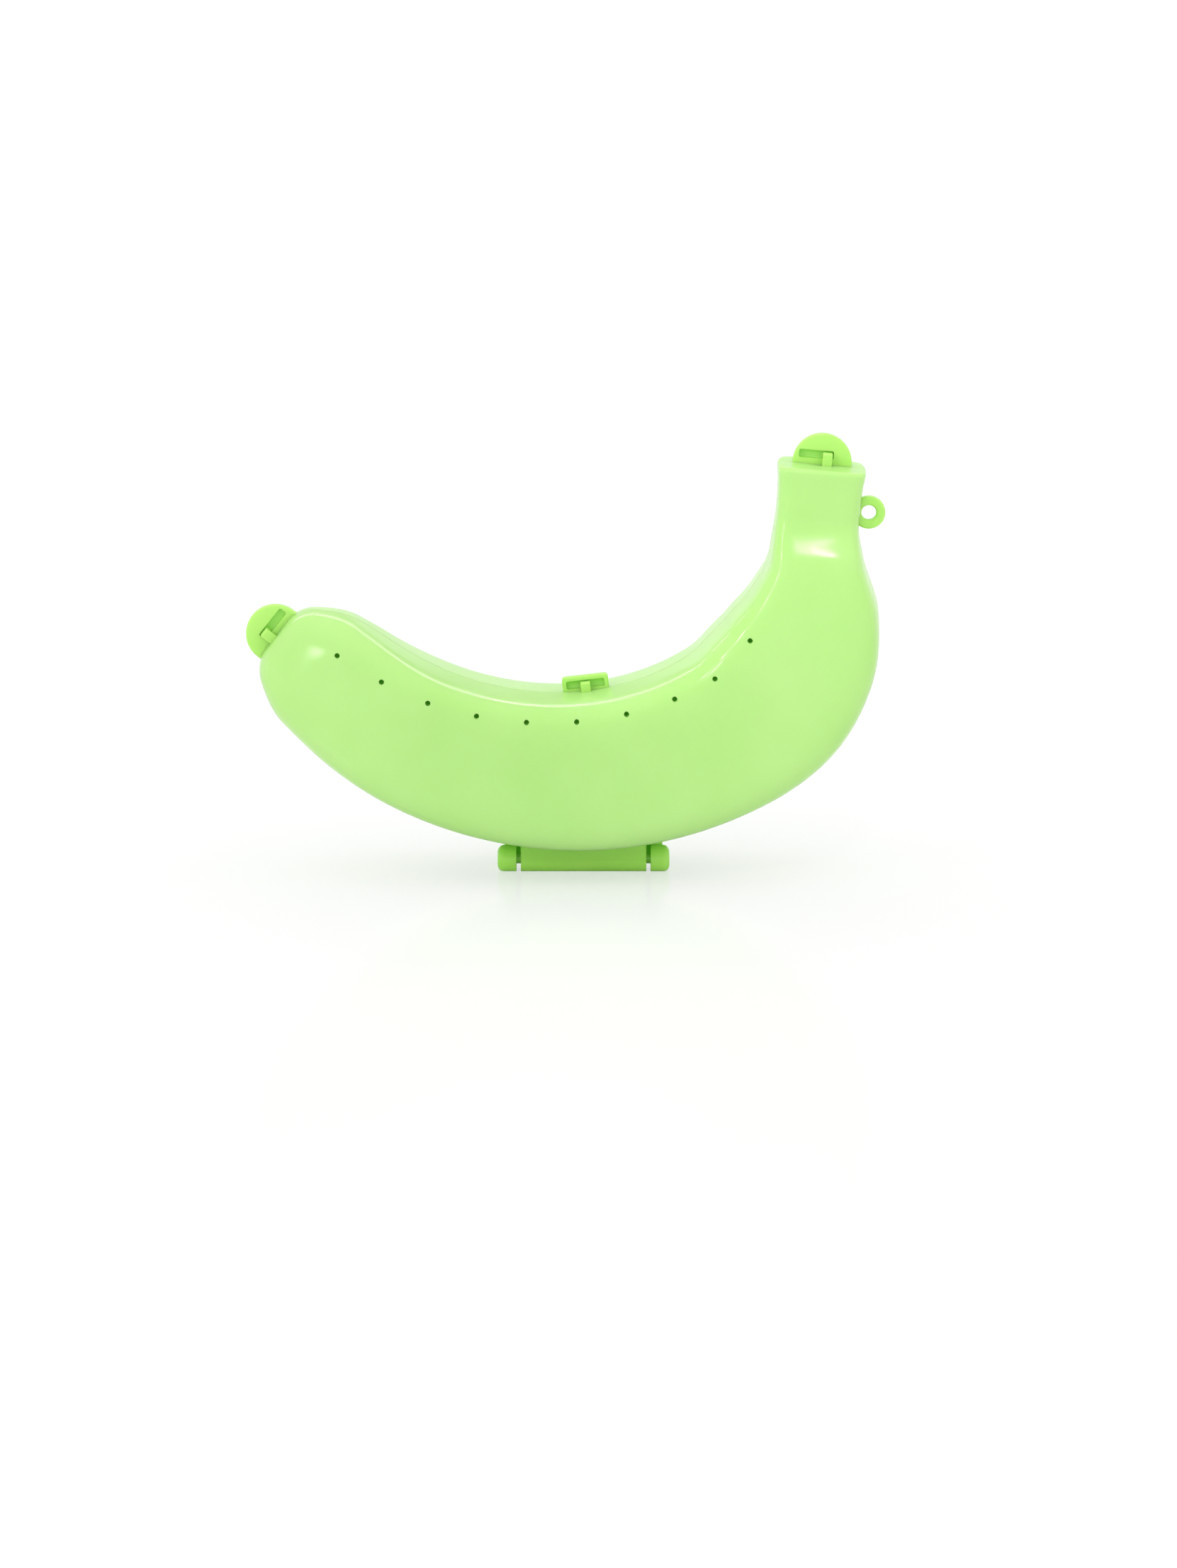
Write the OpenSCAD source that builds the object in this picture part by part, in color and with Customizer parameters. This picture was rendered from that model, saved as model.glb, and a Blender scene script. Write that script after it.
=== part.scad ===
// Banana carrying case: two moulded half shells that close over a banana,
// hinged under the belly and snapped shut at the stem, the tip and the inner curve.
// It stands on its hinge. The parting plane is y = 0, the front half faces -Y,
// the tip points to -X and the origin is the middle of the hinge's flat underside.

/* [Spine of the banana] */
// Straight length of the spine at the tip
tip_length = 30; // [24:1:40]
// Spine radius on the tip side of the belly
tip_side_radius = 106; // [90:1:130]
// Spine turn on the tip side of the belly, in degrees
tip_side_turn = 38; // [30:1:45]
// Spine radius on the stem side of the belly
stem_side_radius = 97.5; // [90:0.5:110]
// Spine turn on the stem side of the belly, in degrees
stem_side_turn = 29.5; // [27:0.5:32]
// Spine radius through the neck
neck_radius = 52.5; // [49:0.5:57]
// Spine turn through the neck, in degrees
neck_turn = 55; // [52:0.5:57]
// Spine radius of the slacker bend above the neck
throat_radius = 117; // [100:1:135]
// Spine turn of the slacker bend above the neck, in degrees
throat_turn = 6.7; // [5:0.1:8]
// Spine radius where the stem turns back outwards
stem_foot_radius = 93; // [80:1:110]
// Spine turn back outwards at the stem's foot, in degrees
stem_foot_turn = 6.2; // [5:0.1:8]
// Straight length of the spine at the stem
stem_length = 16.7; // [15.5:0.1:20]

/* [Half-widths of the body] */
// At the flat face of the tip
tip_face_half_width = 10.4; // [9.5:0.1:12]
// Where the tip has rounded out
tip_half_width = 19.2; // [16:0.1:20]
// On the tip side of the belly
tip_side_half_width = 21.4; // [19:0.1:23]
// At the belly
belly_half_width = 23.3; // [21:0.1:26]
// Where the neck's bend begins
stem_side_half_width = 24.9; // [23.5:0.1:26]
// At the middle of the neck's bend
bend_half_width = 25.7; // [24.5:0.1:26.5]
// At the shoulder of the neck
shoulder_half_width = 24.1; // [23:0.1:25]
// Halfway down the neck
neck_half_width = 20; // [19:0.1:21.5]
// Where the neck runs into the stem
neck_foot_half_width = 14.4; // [14:0.1:16]
// At the crease below the stem block
stem_half_width = 12.7; // [11.5:0.1:14]
// At the top of the stem
stem_top_half_width = 13.7; // [12.5:0.1:15]

/* [Half-depths of the body] */
// At the flat face of the tip
tip_face_half_depth = 9.6; // [8:0.1:12]
// Where the tip has rounded out
tip_half_depth = 19; // [17:0.1:22]
// Along the belly
body_half_depth = 25; // [22:0.1:28]
// At the middle of the neck's bend
bend_half_depth = 24.9; // [24:0.1:26]
// At the shoulder of the neck
shoulder_half_depth = 23.6; // [22:0.1:24.5]
// Halfway down the neck
neck_half_depth = 21.2; // [19:0.1:22.5]
// Where the neck runs into the stem
neck_foot_half_depth = 17; // [14:0.1:18]
// At the stem block
stem_half_depth = 11; // [9:0.1:13]

/* [Stations along the body] */
// From the tip's face to where the tip has rounded out
tip_shoulder_at = 17; // [13:0.5:22]
// From the tip's face to the tip side of the belly
tip_side_at = 51; // [40:1:65]
// From the stem's top to the middle of the neck's bend
bend_from_top = 74; // [70:1:78]
// From the stem's top to the shoulder of the neck
shoulder_from_top = 57; // [53:1:61]
// From the stem's top to halfway down the neck
neck_from_top = 42; // [39:1:46]
// From the stem's top to where the neck runs into the stem
neck_foot_from_top = 28; // [25:1:31]
// Length of the flat-sided stem block
stem_block_length = 14.5; // [11:0.5:18]

/* [Shell] */
// Wall thickness
wall = 1.8; // [1.2:0.1:2.6]
// Gap between the two halves at the parting plane
parting_gap = 0.3; // [0.2:0.05:0.6]
// Radius on the edges of the tip's end face
tip_edge_radius = 4.5; // [1:0.1:5.5]
// Radius on the edges of the stem's end face
stem_edge_radius = 1.5; // [0.5:0.1:2]
// Draft of the moulded sides, in degrees
draft = 2; // [0:0.5:3]
// Squareness of the section at the tip, where 2 is an ellipse
tip_squareness = 3; // [2:0.1:5]
// Squareness of the section along the body
body_squareness = 6; // [2.5:0.1:7]
// Squareness of the section at the stem
stem_squareness = 6; // [3:0.1:8]

/* [Vents] */
// Number of vent holes
vent_count = 10; // [3:1:10]
// Diameter of a vent hole
vent_d = 1.6; // [1:0.1:3]
// Spacing along the row
vent_pitch = 15.3; // [12:0.1:15.7]
// From the tip's face to the first vent, along the spine
vent_first = 16.5; // [11:0.1:17]
// Offset of the first vent from the spine, towards the inner curve
vent_tip_offset = 9.7; // [8:0.1:12]
// Offset of the row at its middle
vent_middle_offset = 19.4; // [16:0.1:20.5]
// Offset of the row at the neck
vent_neck_offset = 16.9; // [12:0.1:19]

/* [Hinge] */
// Width over all three knuckles
hinge_w = 52.6; // [44:0.5:64]
// Width of each outer knuckle
outer_knuckle_w = 5.8; // [4.5:0.1:8]
// Slit between neighbouring knuckles
knuckle_slit = 1.3; // [0.6:0.1:2]
// Radius of the knuckle barrels
barrel_r = 4.2; // [3.6:0.1:5]
// Height of the hinge axis above the flat underside
axis_z = 3.6; // [3:0.1:4.2]
// Space between the barrels and the body above them
barrel_space = 1.3; // [1:0.1:3]
// Distance of the hinge from the lowest point of the belly, towards the stem
hinge_offset = 4.5; // [0:0.5:9]
// Rounding of the hinge's outer ends
barrel_end_radius = 2.2; // [1:0.1:2.4]
// Radius of the hinge pin
pin_r = 1.6; // [1.1:0.05:1.8]
// Distance of the pin's ends from the hinge's ends
pin_inset = 0.6; // [0.3:0.1:2]
// Radial clearance of the pin in the front knuckle
pin_running_clearance = 0.06; // [0.03:0.01:0.1]
// Radial clearance of the pin in the rear knuckles
pin_seat_clearance = 0.02; // [0.01:0.01:0.03]
// Gap between the middle barrel and the braces behind it
brace_gap = 0.4; // [0.3:0.1:0.8]
// Thickness of the brace that each outer knuckle has behind its slit
brace_t = 1.4; // [1:0.1:2]
// Lap of a brace past its slit
brace_lap = 1.5; // [0.5:0.1:4]
// Height of a brace's lower edge above the flat underside
brace_z = 2.2; // [1.6:0.1:3]

/* [Finger tabs and catches] */
// Radius of the half-round finger tabs
tab_r = 9; // [8.5:0.1:10]
// Height of a tab's straight foot, below its half-round
tab_foot = 0.4; // [0.2:0.1:2]
// Thickness of the tabs and of the latch keeper
tab_t = 3; // [2.6:0.1:3.4]
// Width of the pocket in a tab
tab_pocket_w = 10.6; // [8:0.1:11]
// Distance of a tab's pocket from the middle of the tab, towards the inner curve
tab_pocket_shift = 2; // [1:0.1:2.2]
// Distance of a tab's pocket from the end face
tab_pocket_rise = 1.7; // [1.2:0.1:2.6]
// Height of each pocket
pocket_h = 2.6; // [2.2:0.1:3]
// Depth of each pocket
pocket_depth = 2; // [1.6:0.1:2.2]
// Width of a catch
catch_w = 3; // [2.4:0.1:3.4]
// Distance of an end's catch from the middle of its tab, towards the outer curve
catch_shift = 1.4; // [0:0.1:1.6]
// Thickness of the post of a catch
catch_post_t = 2; // [1.5:0.1:2.5]
// Clearance of a catch in its pocket, above, below and behind
catch_clearance = 0.4; // [0.3:0.05:0.6]
// From the belly's lowest point to the inner latch, along the spine
latch_at = 7; // [0:0.5:14]
// Width of the pocket in the latch keeper
keeper_pocket_w = 11.7; // [9:0.1:15]
// Height of the keeper's pocket above the inner edge
keeper_pocket_rise = 0.7; // [0.5:0.1:1.6]
// Thickness of the keeper's strap and legs
keeper_strap = 1.2; // [1:0.1:2]

/* [Key loop] */
// Outer radius of the key loop
loop_r = 5; // [4.2:0.1:6]
// Radius of its hole
loop_hole_r = 2.25; // [1.5:0.05:2.6]
// Thickness of the loop
loop_t = 3; // [2:0.1:4]
// Least wall between the hole and the stem
loop_root = 0.6; // [0.4:0.1:1.2]
// Distance of the loop from the stem's top, along the spine
loop_from_top = 13.6; // [9:0.1:16]

/* [Hidden] */
$fn = 64;

// Colours of the moulded plastic on the shells, on the thin tabs and in the hinge
lime = "#B8F283";
tab_lime = "#B2EC66";
hinge_lime = "#A6E660";

// The spine, as lengths and turns of its seven runs from the tip to the stem
run_turn = [0, tip_side_turn, stem_side_turn, neck_turn, throat_turn, -stem_foot_turn, 0];
run_length = [
    tip_length,
    arc_length(tip_side_radius, tip_side_turn),
    arc_length(stem_side_radius, stem_side_turn),
    arc_length(neck_radius, neck_turn),
    arc_length(throat_radius, throat_turn),
    arc_length(stem_foot_radius, stem_foot_turn),
    stem_length
];
last_run = len(run_length) - 1;
spine_length = run_start(len(run_length));
belly_at = run_start(2);
neck_at = run_start(3);

// Half the parting gap is taken from each half
parting = parting_gap / 2;
// Height of the lowest point of the shells, over the hinge
shell_bottom_z = axis_z + barrel_r + barrel_space;
front_knuckle_w = hinge_w - 2 * (outer_knuckle_w + knuckle_slit);

// Section stations: distance along the spine, half-width, half-depth
crease_at = spine_length - stem_block_length;
stations = [
    [0, tip_face_half_width, tip_face_half_depth],
    [tip_shoulder_at, tip_half_width, tip_half_depth],
    [tip_side_at, tip_side_half_width, body_half_depth],
    [belly_at, belly_half_width, body_half_depth],
    [neck_at, stem_side_half_width, body_half_depth],
    [spine_length - bend_from_top, bend_half_width, bend_half_depth],
    [spine_length - shoulder_from_top, shoulder_half_width, shoulder_half_depth],
    [spine_length - neck_from_top, neck_half_width, neck_half_depth],
    [spine_length - neck_foot_from_top, neck_foot_half_width, neck_foot_half_depth],
    [crease_at, stem_half_width, stem_half_depth],
    [spine_length, stem_top_half_width, stem_half_depth]
];

// Rings of the shell: fine steps round the edge of each end face, even steps between them
edge_steps = 5;
body_steps = 44;
block_steps = 3;
section_steps = 20;
rings = concat(
    [for (i = [0 : edge_steps - 1]) tip_edge_radius * (1 - cos(90 * i / edge_steps))],
    [for (i = [0 : body_steps - 1]) tip_edge_radius + (crease_at - tip_edge_radius) * i / body_steps],
    [for (i = [0 : block_steps - 1]) crease_at + (stem_block_length - stem_edge_radius) * i / block_steps],
    [for (i = [0 : edge_steps]) spine_length - stem_edge_radius * (1 - sin(90 * i / edge_steps))]
);
ring_count = len(rings);
row = section_steps + 1;

// Small helpers
function arc_length(radius, turn) = radius * turn * PI / 180;
function total(list, count) = count <= 0 ? 0 : list[count - 1] + total(list, count - 1);
function run_start(k) = total(run_length, k);
function share_of_run(s, k) = min(1, max(0, (s - run_start(k)) / run_length[k]));

// Heading of the spine, in degrees above +X, and its curvature
function turn_before(s, k) = k < 0 ? 0 : run_turn[k] * share_of_run(s, k) + turn_before(s, k - 1);
function heading(s) = turn_before(s, last_run) - tip_side_turn;
function run_of(s, k = 0) = k == last_run || s < run_start(k + 1) ? k : run_of(s, k + 1);
function curvature(s) = run_turn[run_of(s)] * PI / 180 / run_length[run_of(s)];

// Step of the spine along run k up to distance s, and the spine's point there
function run_step(s, k) =
    let (from = heading(run_start(k)), part = share_of_run(s, k), to = from + run_turn[k] * part)
    run_turn[k] == 0
        ? run_length[k] * part * [cos(from), sin(from)]
        : run_length[k] * 180 / PI / run_turn[k] * [sin(to) - sin(from), cos(from) - cos(to)];
function steps_before(s, k) = k < 0 ? [0, 0] : run_step(s, k) + steps_before(s, k - 1);
function spine_point(s) =
    steps_before(s, last_run) - steps_before(belly_at, last_run)
        + [-hinge_offset, shell_bottom_z + belly_half_width];

// Smooth curve through one column of the station list, which doesn't overshoot between stations
last_station = len(stations) - 1;
function rise(k, c) = (stations[k + 1][c] - stations[k][c]) / (stations[k + 1][0] - stations[k][0]);
function inner_slope(a, b) = a * b <= 0 ? 0 : 2 * a * b / (a + b);
function end_slope(near, far) = (3 * near - far) / 2;
function slope(k, c) =
    k == 0 ? end_slope(rise(0, c), rise(1, c))
    : k == last_station ? end_slope(rise(k - 1, c), rise(k - 2, c))
    : inner_slope(rise(k - 1, c), rise(k, c));
function span_of(s, k = 0) = k == last_station - 1 || s < stations[k + 1][0] ? k : span_of(s, k + 1);
function through_stations(s, c) =
    let (
        k = span_of(s),
        step = stations[k + 1][0] - stations[k][0],
        f = min(1, (s - stations[k][0]) / step)
    )
    stations[k][c] * (1 + 2 * f) * pow(1 - f, 2) + stations[k + 1][c] * f * f * (3 - 2 * f)
        + step * f * (1 - f) * (slope(k, c) * (1 - f) - slope(k + 1, c) * f);

// Rounding of the end faces' edges, and the section's half-sizes and squareness
function rounded_off(radius, short) = radius - sqrt(max(0, radius * radius - short * short));
function edge_loss(s) =
    rounded_off(tip_edge_radius, max(0, tip_edge_radius - s))
    + rounded_off(stem_edge_radius, max(0, s - spine_length + stem_edge_radius));
function half_width(s) = through_stations(s, 1) - edge_loss(s);
function half_depth(s) = through_stations(s, 2) - edge_loss(s);
function squareness(s) =
    lookup(s, [[0, tip_squareness], [tip_side_at, body_squareness], [neck_at, body_squareness],
               [crease_at, stem_squareness]]);

// Point of the front half at distance s, angle t from the inner edge, thickness in from the outside
function shell_point(s, t, inset) =
    let (
        in_s = inset + s * (spine_length - 2 * inset) / spine_length,
        p = spine_point(in_s),
        h = heading(in_s),
        e = 2 / squareness(in_s),
        depth = (half_depth(in_s) - inset - parting) * pow(abs(sin(t)), e),
        u = (half_width(in_s) - inset - depth * tan(draft)) * sign(cos(t)) * pow(abs(cos(t)), e)
    )
    [p[0] - u * sin(h), -parting - depth, p[1] + u * cos(h)];
function skin(first, last, inset) =
    [for (i = [first : last]) for (j = [0 : section_steps])
        shell_point(rings[i], 180 * j / section_steps, inset)];

// Triangles of a skin of that many rings, its end faces, and a strip between two rows of points
function skin_faces(count, from) =
    [for (i = [0 : count - 2]) for (j = [0 : section_steps - 1])
        let (a = from + i * row + j, b = a + row)
        each [[a, b, b + 1], [a, b + 1, a + 1]]];
function ring_face(ring, from) = [for (j = [0 : section_steps]) from + ring * row + j];
function turned(face) = [for (i = [len(face) - 1 : -1 : 0]) face[i]];
function strip(count, a, b) =
    [for (i = [0 : count - 2])
        let (a0 = a + i * row, a1 = a0 + row, b0 = b + i * row, b1 = b0 + row)
        each [[a0, a1, b1], [a0, b1, b0]]];

// Front half of the shell: outer skin, inner skin and the rim that joins them
module half_shell() {
    inner = ring_count * row;
    last = section_steps;
    end = (ring_count - 1) * row;
    polyhedron(
        points = concat(skin(0, ring_count - 1, 0), skin(0, ring_count - 1, wall)),
        faces = concat(
            skin_faces(ring_count, 0),
            [for (f = skin_faces(ring_count, inner)) turned(f)],
            [ring_face(0, 0), turned(ring_face(ring_count - 1, 0))],
            [turned(ring_face(0, inner)), ring_face(ring_count - 1, inner)],
            strip(ring_count, inner, 0),
            strip(ring_count, last, inner + last),
            [[0, last, inner + last, inner]],
            [[end + last, end, inner + end, inner + end + last]]
        )
    );
}

// Solid body between two distances along the spine, which trims what sits on the shells
module body_between(from_s, to_s) {
    first = max([for (i = [0 : ring_count - 1]) if (rings[i] <= from_s) i]);
    final = min([for (i = [0 : ring_count - 1]) if (rings[i] >= to_s) i]);
    count = final - first + 1;
    front = skin(first, final, 0);
    back = len(front);
    last = section_steps;
    tip_end = concat(ring_face(0, 0), turned(ring_face(0, back)));
    stem_end = concat(ring_face(count - 1, 0), turned(ring_face(count - 1, back)));
    polyhedron(
        points = concat(front, [for (p = front) [p[0], -p[1], p[2]]]),
        faces = concat(
            skin_faces(count, 0),
            [for (f = skin_faces(count, back)) turned(f)],
            strip(count, back, 0),
            strip(count, last, back + last),
            [tip_end, turned(stem_end)]
        )
    );
}

// Turns what is drawn for the front half into its twin on the rear half
module rear() {
    mirror([0, 1, 0]) children();
}

// Places what is drawn with +X along the spine and +Z towards the inner curve
module on_spine(s, u) {
    p = spine_point(s);
    translate([p[0], 0, p[1]]) rotate([0, -heading(s), 0]) translate([0, 0, u]) children();
}

// Places what is drawn on the end face x = 0, with +X outwards
module on_stem_face() {
    on_spine(spine_length, 0) children();
}
module on_tip_face() {
    on_spine(0, 0) rotate([0, 180, 0]) children();
}

// Distance along the spine of vent k, evenly spaced along its own row, and the row's offset
vent_middle = (belly_at + neck_at) / 2;
vent_last = spine_length - shoulder_from_top;
function weight(s, own, a, b) = (s - a) * (s - b) / ((own - a) * (own - b));
function vent_offset(s) =
    vent_tip_offset * weight(s, vent_first, vent_middle, vent_last)
    + vent_middle_offset * weight(s, vent_middle, vent_first, vent_last)
    + vent_neck_offset * weight(s, vent_last, vent_first, vent_middle);
function vent_at(k) =
    k == 0 ? vent_first
           : let (s = vent_at(k - 1)) s + vent_pitch / (1 - vent_offset(s) * curvature(s));

module vents() {
    // The drill starts clear of the face and stops inside the hollow
    drill_from = body_half_depth + wall;
    drill_to = (tip_half_depth - wall) / 2;
    for (k = [0 : vent_count - 1])
        on_spine(vent_at(k), vent_offset(vent_at(k)))
            translate([0, -drill_from, 0]) rotate([-90, 0, 0])
                cylinder(d = vent_d, h = drill_from - drill_to);
}

module front_shell() {
    color(lime) difference() {
        half_shell();
        vents();
    }
}

module rear_shell() {
    color(lime) rear() half_shell();
}

// Stretch of body above the hinge, which trims the knuckles' webs
module body_over_hinge() {
    body_between(belly_at - hinge_w / 2, belly_at + hinge_w / 2 + 2 * hinge_offset);
}

// Web that carries a knuckle of the front half: it hangs from the shell and runs into the barrel
module knuckle_web(from_x, width) {
    translate([from_x, -barrel_r, axis_z]) cube([width, barrel_r - parting_gap, belly_half_width]);
}

// Everything under the foot is cut away, which leaves each barrel a flat to stand on
module below_foot() {
    translate([-hinge_w, -2 * barrel_r, -2 * barrel_r]) cube([2 * hinge_w, 4 * barrel_r, 2 * barrel_r]);
}

module front_knuckle() {
    color(hinge_lime) difference() {
        union() {
            translate([-front_knuckle_w / 2, 0, axis_z]) rotate([0, 90, 0])
                cylinder(r = barrel_r, h = front_knuckle_w);
            knuckle_web(-front_knuckle_w / 2, front_knuckle_w);
        }
        body_over_hinge();
        below_foot();
        translate([-hinge_w / 2, 0, axis_z]) rotate([0, 90, 0])
            cylinder(r = pin_r + pin_running_clearance, h = hinge_w);
    }
}

// Barrel of an outer knuckle, from its slit at x = 0 to its rounded outer end
module outer_barrel() {
    straight = outer_knuckle_w - barrel_end_radius;
    core_r = barrel_r - barrel_end_radius;
    rotate([0, 90, 0]) rotate_extrude() {
        square([core_r, outer_knuckle_w]);
        square([barrel_r, straight]);
        translate([core_r, straight]) intersection() {
            circle(r = barrel_end_radius);
            square(barrel_end_radius);
        }
    }
}

// Outer knuckle of the rear half on the side that is given, -1 for the tip and 1 for the stem.
// Its web runs back to a brace, which laps behind the slit and keeps clear of the middle barrel.
module outer_knuckle(side) {
    inner_x = hinge_w / 2 - outer_knuckle_w;
    web_w = outer_knuckle_w - barrel_end_radius;
    brace_from = inner_x - knuckle_slit - brace_lap;
    brace_y = barrel_r + brace_gap;
    color(hinge_lime) difference() {
        mirror([side < 0 ? 1 : 0, 0, 0]) {
            translate([inner_x, 0, axis_z]) outer_barrel();
            translate([inner_x, parting_gap, axis_z])
                cube([web_w, brace_y + brace_t - parting_gap, belly_half_width]);
            translate([brace_from, brace_y, brace_z])
                cube([inner_x + web_w - brace_from, brace_t, belly_half_width]);
        }
        body_over_hinge();
        below_foot();
        translate([-hinge_w, 0, axis_z]) rotate([0, 90, 0])
            cylinder(r = pin_r + pin_seat_clearance, h = 2 * hinge_w);
    }
}

module left_rear_knuckle() {
    outer_knuckle(-1);
}

module right_rear_knuckle() {
    outer_knuckle(1);
}

module hinge_pin() {
    color(hinge_lime) translate([pin_inset - hinge_w / 2, 0, axis_z]) rotate([0, 90, 0])
        cylinder(r = pin_r, h = hinge_w - 2 * pin_inset);
}

// Half-round tab on a straight foot, with a pocket in its front face. It is drawn on an end face,
// with the inner curve towards +Z on side 1 and towards -Z on side -1, and runs down into the shell.
module finger_tab(side) {
    root = max(tip_edge_radius, stem_edge_radius);
    difference() {
        union() {
            translate([tab_foot, parting, 0]) rotate([-90, 0, 0]) cylinder(r = tab_r, h = tab_t);
            translate([-root, parting, -tab_r]) cube([root + tab_foot, tab_t, 2 * tab_r]);
        }
        translate([tab_pocket_rise, 0, side * tab_pocket_shift - tab_pocket_w / 2])
            cube([pocket_h, parting + pocket_depth, tab_pocket_w]);
    }
}

module stem_finger_tab() {
    color(tab_lime) difference() {
        on_stem_face() finger_tab(1);
        body_between(spine_length - 2 * tab_r, spine_length);
    }
}

module tip_finger_tab() {
    color(tab_lime) difference() {
        on_tip_face() finger_tab(-1);
        body_between(0, 2 * tab_r);
    }
}

// Catch that reaches back into a pocket: a post on the front half and an arm to the rear.
// It is drawn along +X from its seat, with the pocket's near edge at the given rise.
module catch(rise, sunk) {
    arm_from = rise + catch_clearance;
    arm_t = pocket_h - 2 * catch_clearance;
    back = parting + pocket_depth - catch_clearance;
    translate([-sunk, -parting - catch_post_t, -catch_w / 2])
        cube([sunk + arm_from + arm_t, catch_post_t, catch_w]);
    translate([arm_from, -parting - catch_post_t, -catch_w / 2])
        cube([arm_t, catch_post_t + parting + back - arm_t / 2, catch_w]);
    translate([arm_from + arm_t / 2, back - arm_t / 2, -catch_w / 2]) cylinder(d = arm_t, h = catch_w);
}

module stem_catch() {
    color(tab_lime) on_stem_face() translate([0, 0, -catch_shift]) catch(tab_pocket_rise, 0);
}

module tip_catch() {
    color(tab_lime) on_tip_face() translate([0, 0, catch_shift]) catch(tab_pocket_rise, 0);
}

// Slope of the inner edge at the latch against the spine, measured over a short stretch
latch_s = belly_at + latch_at;
edge_run = (1 - curvature(latch_s) * half_width(latch_s)) * keeper_pocket_w;
edge_rise = half_width(latch_s + keeper_pocket_w / 2) - half_width(latch_s - keeper_pocket_w / 2);
edge_slope = atan(edge_rise / edge_run);

// Places what is drawn along +X from the inner edge at the latch, with the edge running along Z
module on_inner_edge() {
    on_spine(latch_s, half_width(latch_s)) rotate([0, -edge_slope - 90, 0]) children();
}

// Stretch of body under the latch, which trims the keeper's legs and the catch's post
module body_at_latch() {
    body_between(latch_s - keeper_pocket_w, latch_s + keeper_pocket_w);
}

module latch_keeper() {
    outer_w = keeper_pocket_w + 2 * keeper_strap;
    top = keeper_pocket_rise + pocket_h + keeper_strap;
    color(tab_lime) difference() {
        on_inner_edge() translate([-wall, parting, -outer_w / 2]) cube([wall + top, tab_t, outer_w]);
        on_inner_edge() translate([keeper_pocket_rise, 0, -keeper_pocket_w / 2])
            cube([pocket_h, parting + pocket_depth, keeper_pocket_w]);
        body_at_latch();
    }
}

module inner_catch() {
    color(tab_lime) difference() {
        on_inner_edge() catch(keeper_pocket_rise, wall);
        body_at_latch();
    }
}

// Ring for a key chain on the outer side of the stem
loop_s = spine_length - loop_from_top;
loop_u = -(half_width(loop_s) + loop_root + loop_hole_r);
module key_loop() {
    color(tab_lime) difference() {
        on_spine(loop_s, loop_u) translate([0, parting, 0]) rotate([-90, 0, 0])
            cylinder(r = loop_r, h = loop_t);
        on_spine(loop_s, loop_u) rotate([-90, 0, 0]) cylinder(r = loop_hole_r, h = 2 * loop_t);
        body_between(loop_s - loop_r, loop_s + loop_r);
    }
}

rear_shell();
front_shell();
left_rear_knuckle();
right_rear_knuckle();
front_knuckle();
hinge_pin();
stem_finger_tab();
tip_finger_tab();
latch_keeper();
key_loop();
stem_catch();
tip_catch();
inner_catch();
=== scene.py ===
# Banana carrying case: two glossy half shells on a hinge, which close over a banana.
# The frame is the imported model's: metres, parting plane y = 0, front half towards -Y, tip towards -X,
# and the closed case stands on its hinge at z = 0. Sizes are in millimetres until a point is made.
import math

import bmesh
import bpy
from mathutils import Matrix, Vector


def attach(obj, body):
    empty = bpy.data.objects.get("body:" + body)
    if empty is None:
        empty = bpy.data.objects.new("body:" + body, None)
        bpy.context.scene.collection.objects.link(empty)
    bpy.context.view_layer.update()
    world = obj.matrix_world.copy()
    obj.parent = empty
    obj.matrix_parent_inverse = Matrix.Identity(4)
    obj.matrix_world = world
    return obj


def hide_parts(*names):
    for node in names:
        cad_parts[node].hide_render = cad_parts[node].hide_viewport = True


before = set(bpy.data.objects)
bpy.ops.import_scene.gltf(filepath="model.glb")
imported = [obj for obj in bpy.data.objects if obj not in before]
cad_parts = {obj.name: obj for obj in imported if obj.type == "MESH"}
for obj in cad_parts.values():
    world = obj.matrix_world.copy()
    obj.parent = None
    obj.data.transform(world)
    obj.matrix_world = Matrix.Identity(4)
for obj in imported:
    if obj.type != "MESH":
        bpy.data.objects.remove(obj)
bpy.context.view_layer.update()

# The two half shells
# Each half of the case is one thin injection moulding in lime polypropylene, closed at both ends.
# Its section swells and narrows along a curved spine from the tip to the stem, the sides have a
# little draft, and the two halves meet at the parting plane.
mm = 0.001
tip_length = 30.0
tip_side_radius, tip_side_turn = 106.0, 38.0
stem_side_radius, stem_side_turn = 97.5, 29.5
neck_radius, neck_turn = 52.5, 55.0
throat_radius, throat_turn = 117.0, 6.7
stem_foot_radius, stem_foot_turn = 93.0, 6.2
stem_length = 16.7
spine_runs = (
    (tip_length, 0.0),
    (tip_side_radius * math.radians(tip_side_turn), tip_side_turn),
    (stem_side_radius * math.radians(stem_side_turn), stem_side_turn),
    (neck_radius * math.radians(neck_turn), neck_turn),
    (throat_radius * math.radians(throat_turn), throat_turn),
    (stem_foot_radius * math.radians(stem_foot_turn), -stem_foot_turn),
    (stem_length, 0.0),
)
spine_length = sum(length for length, turn in spine_runs)
belly_at = sum(length for length, turn in spine_runs[:2])
neck_at = sum(length for length, turn in spine_runs[:3])
tip_face_half_width, tip_face_half_depth = 10.4, 9.6
tip_shoulder_at, tip_half_width, tip_half_depth = 17.0, 19.2, 19.0
tip_side_at, tip_side_half_width = 51.0, 21.4
belly_half_width, stem_side_half_width, body_half_depth = 23.3, 24.9, 25.0
bend_from_top, bend_half_width, bend_half_depth = 74.0, 25.7, 24.9
shoulder_from_top, shoulder_half_width, shoulder_half_depth = 57.0, 24.1, 23.6
neck_from_top, neck_half_width, neck_half_depth = 42.0, 20.0, 21.2
neck_foot_from_top, neck_foot_half_width, neck_foot_half_depth = 28.0, 14.4, 17.0
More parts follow.
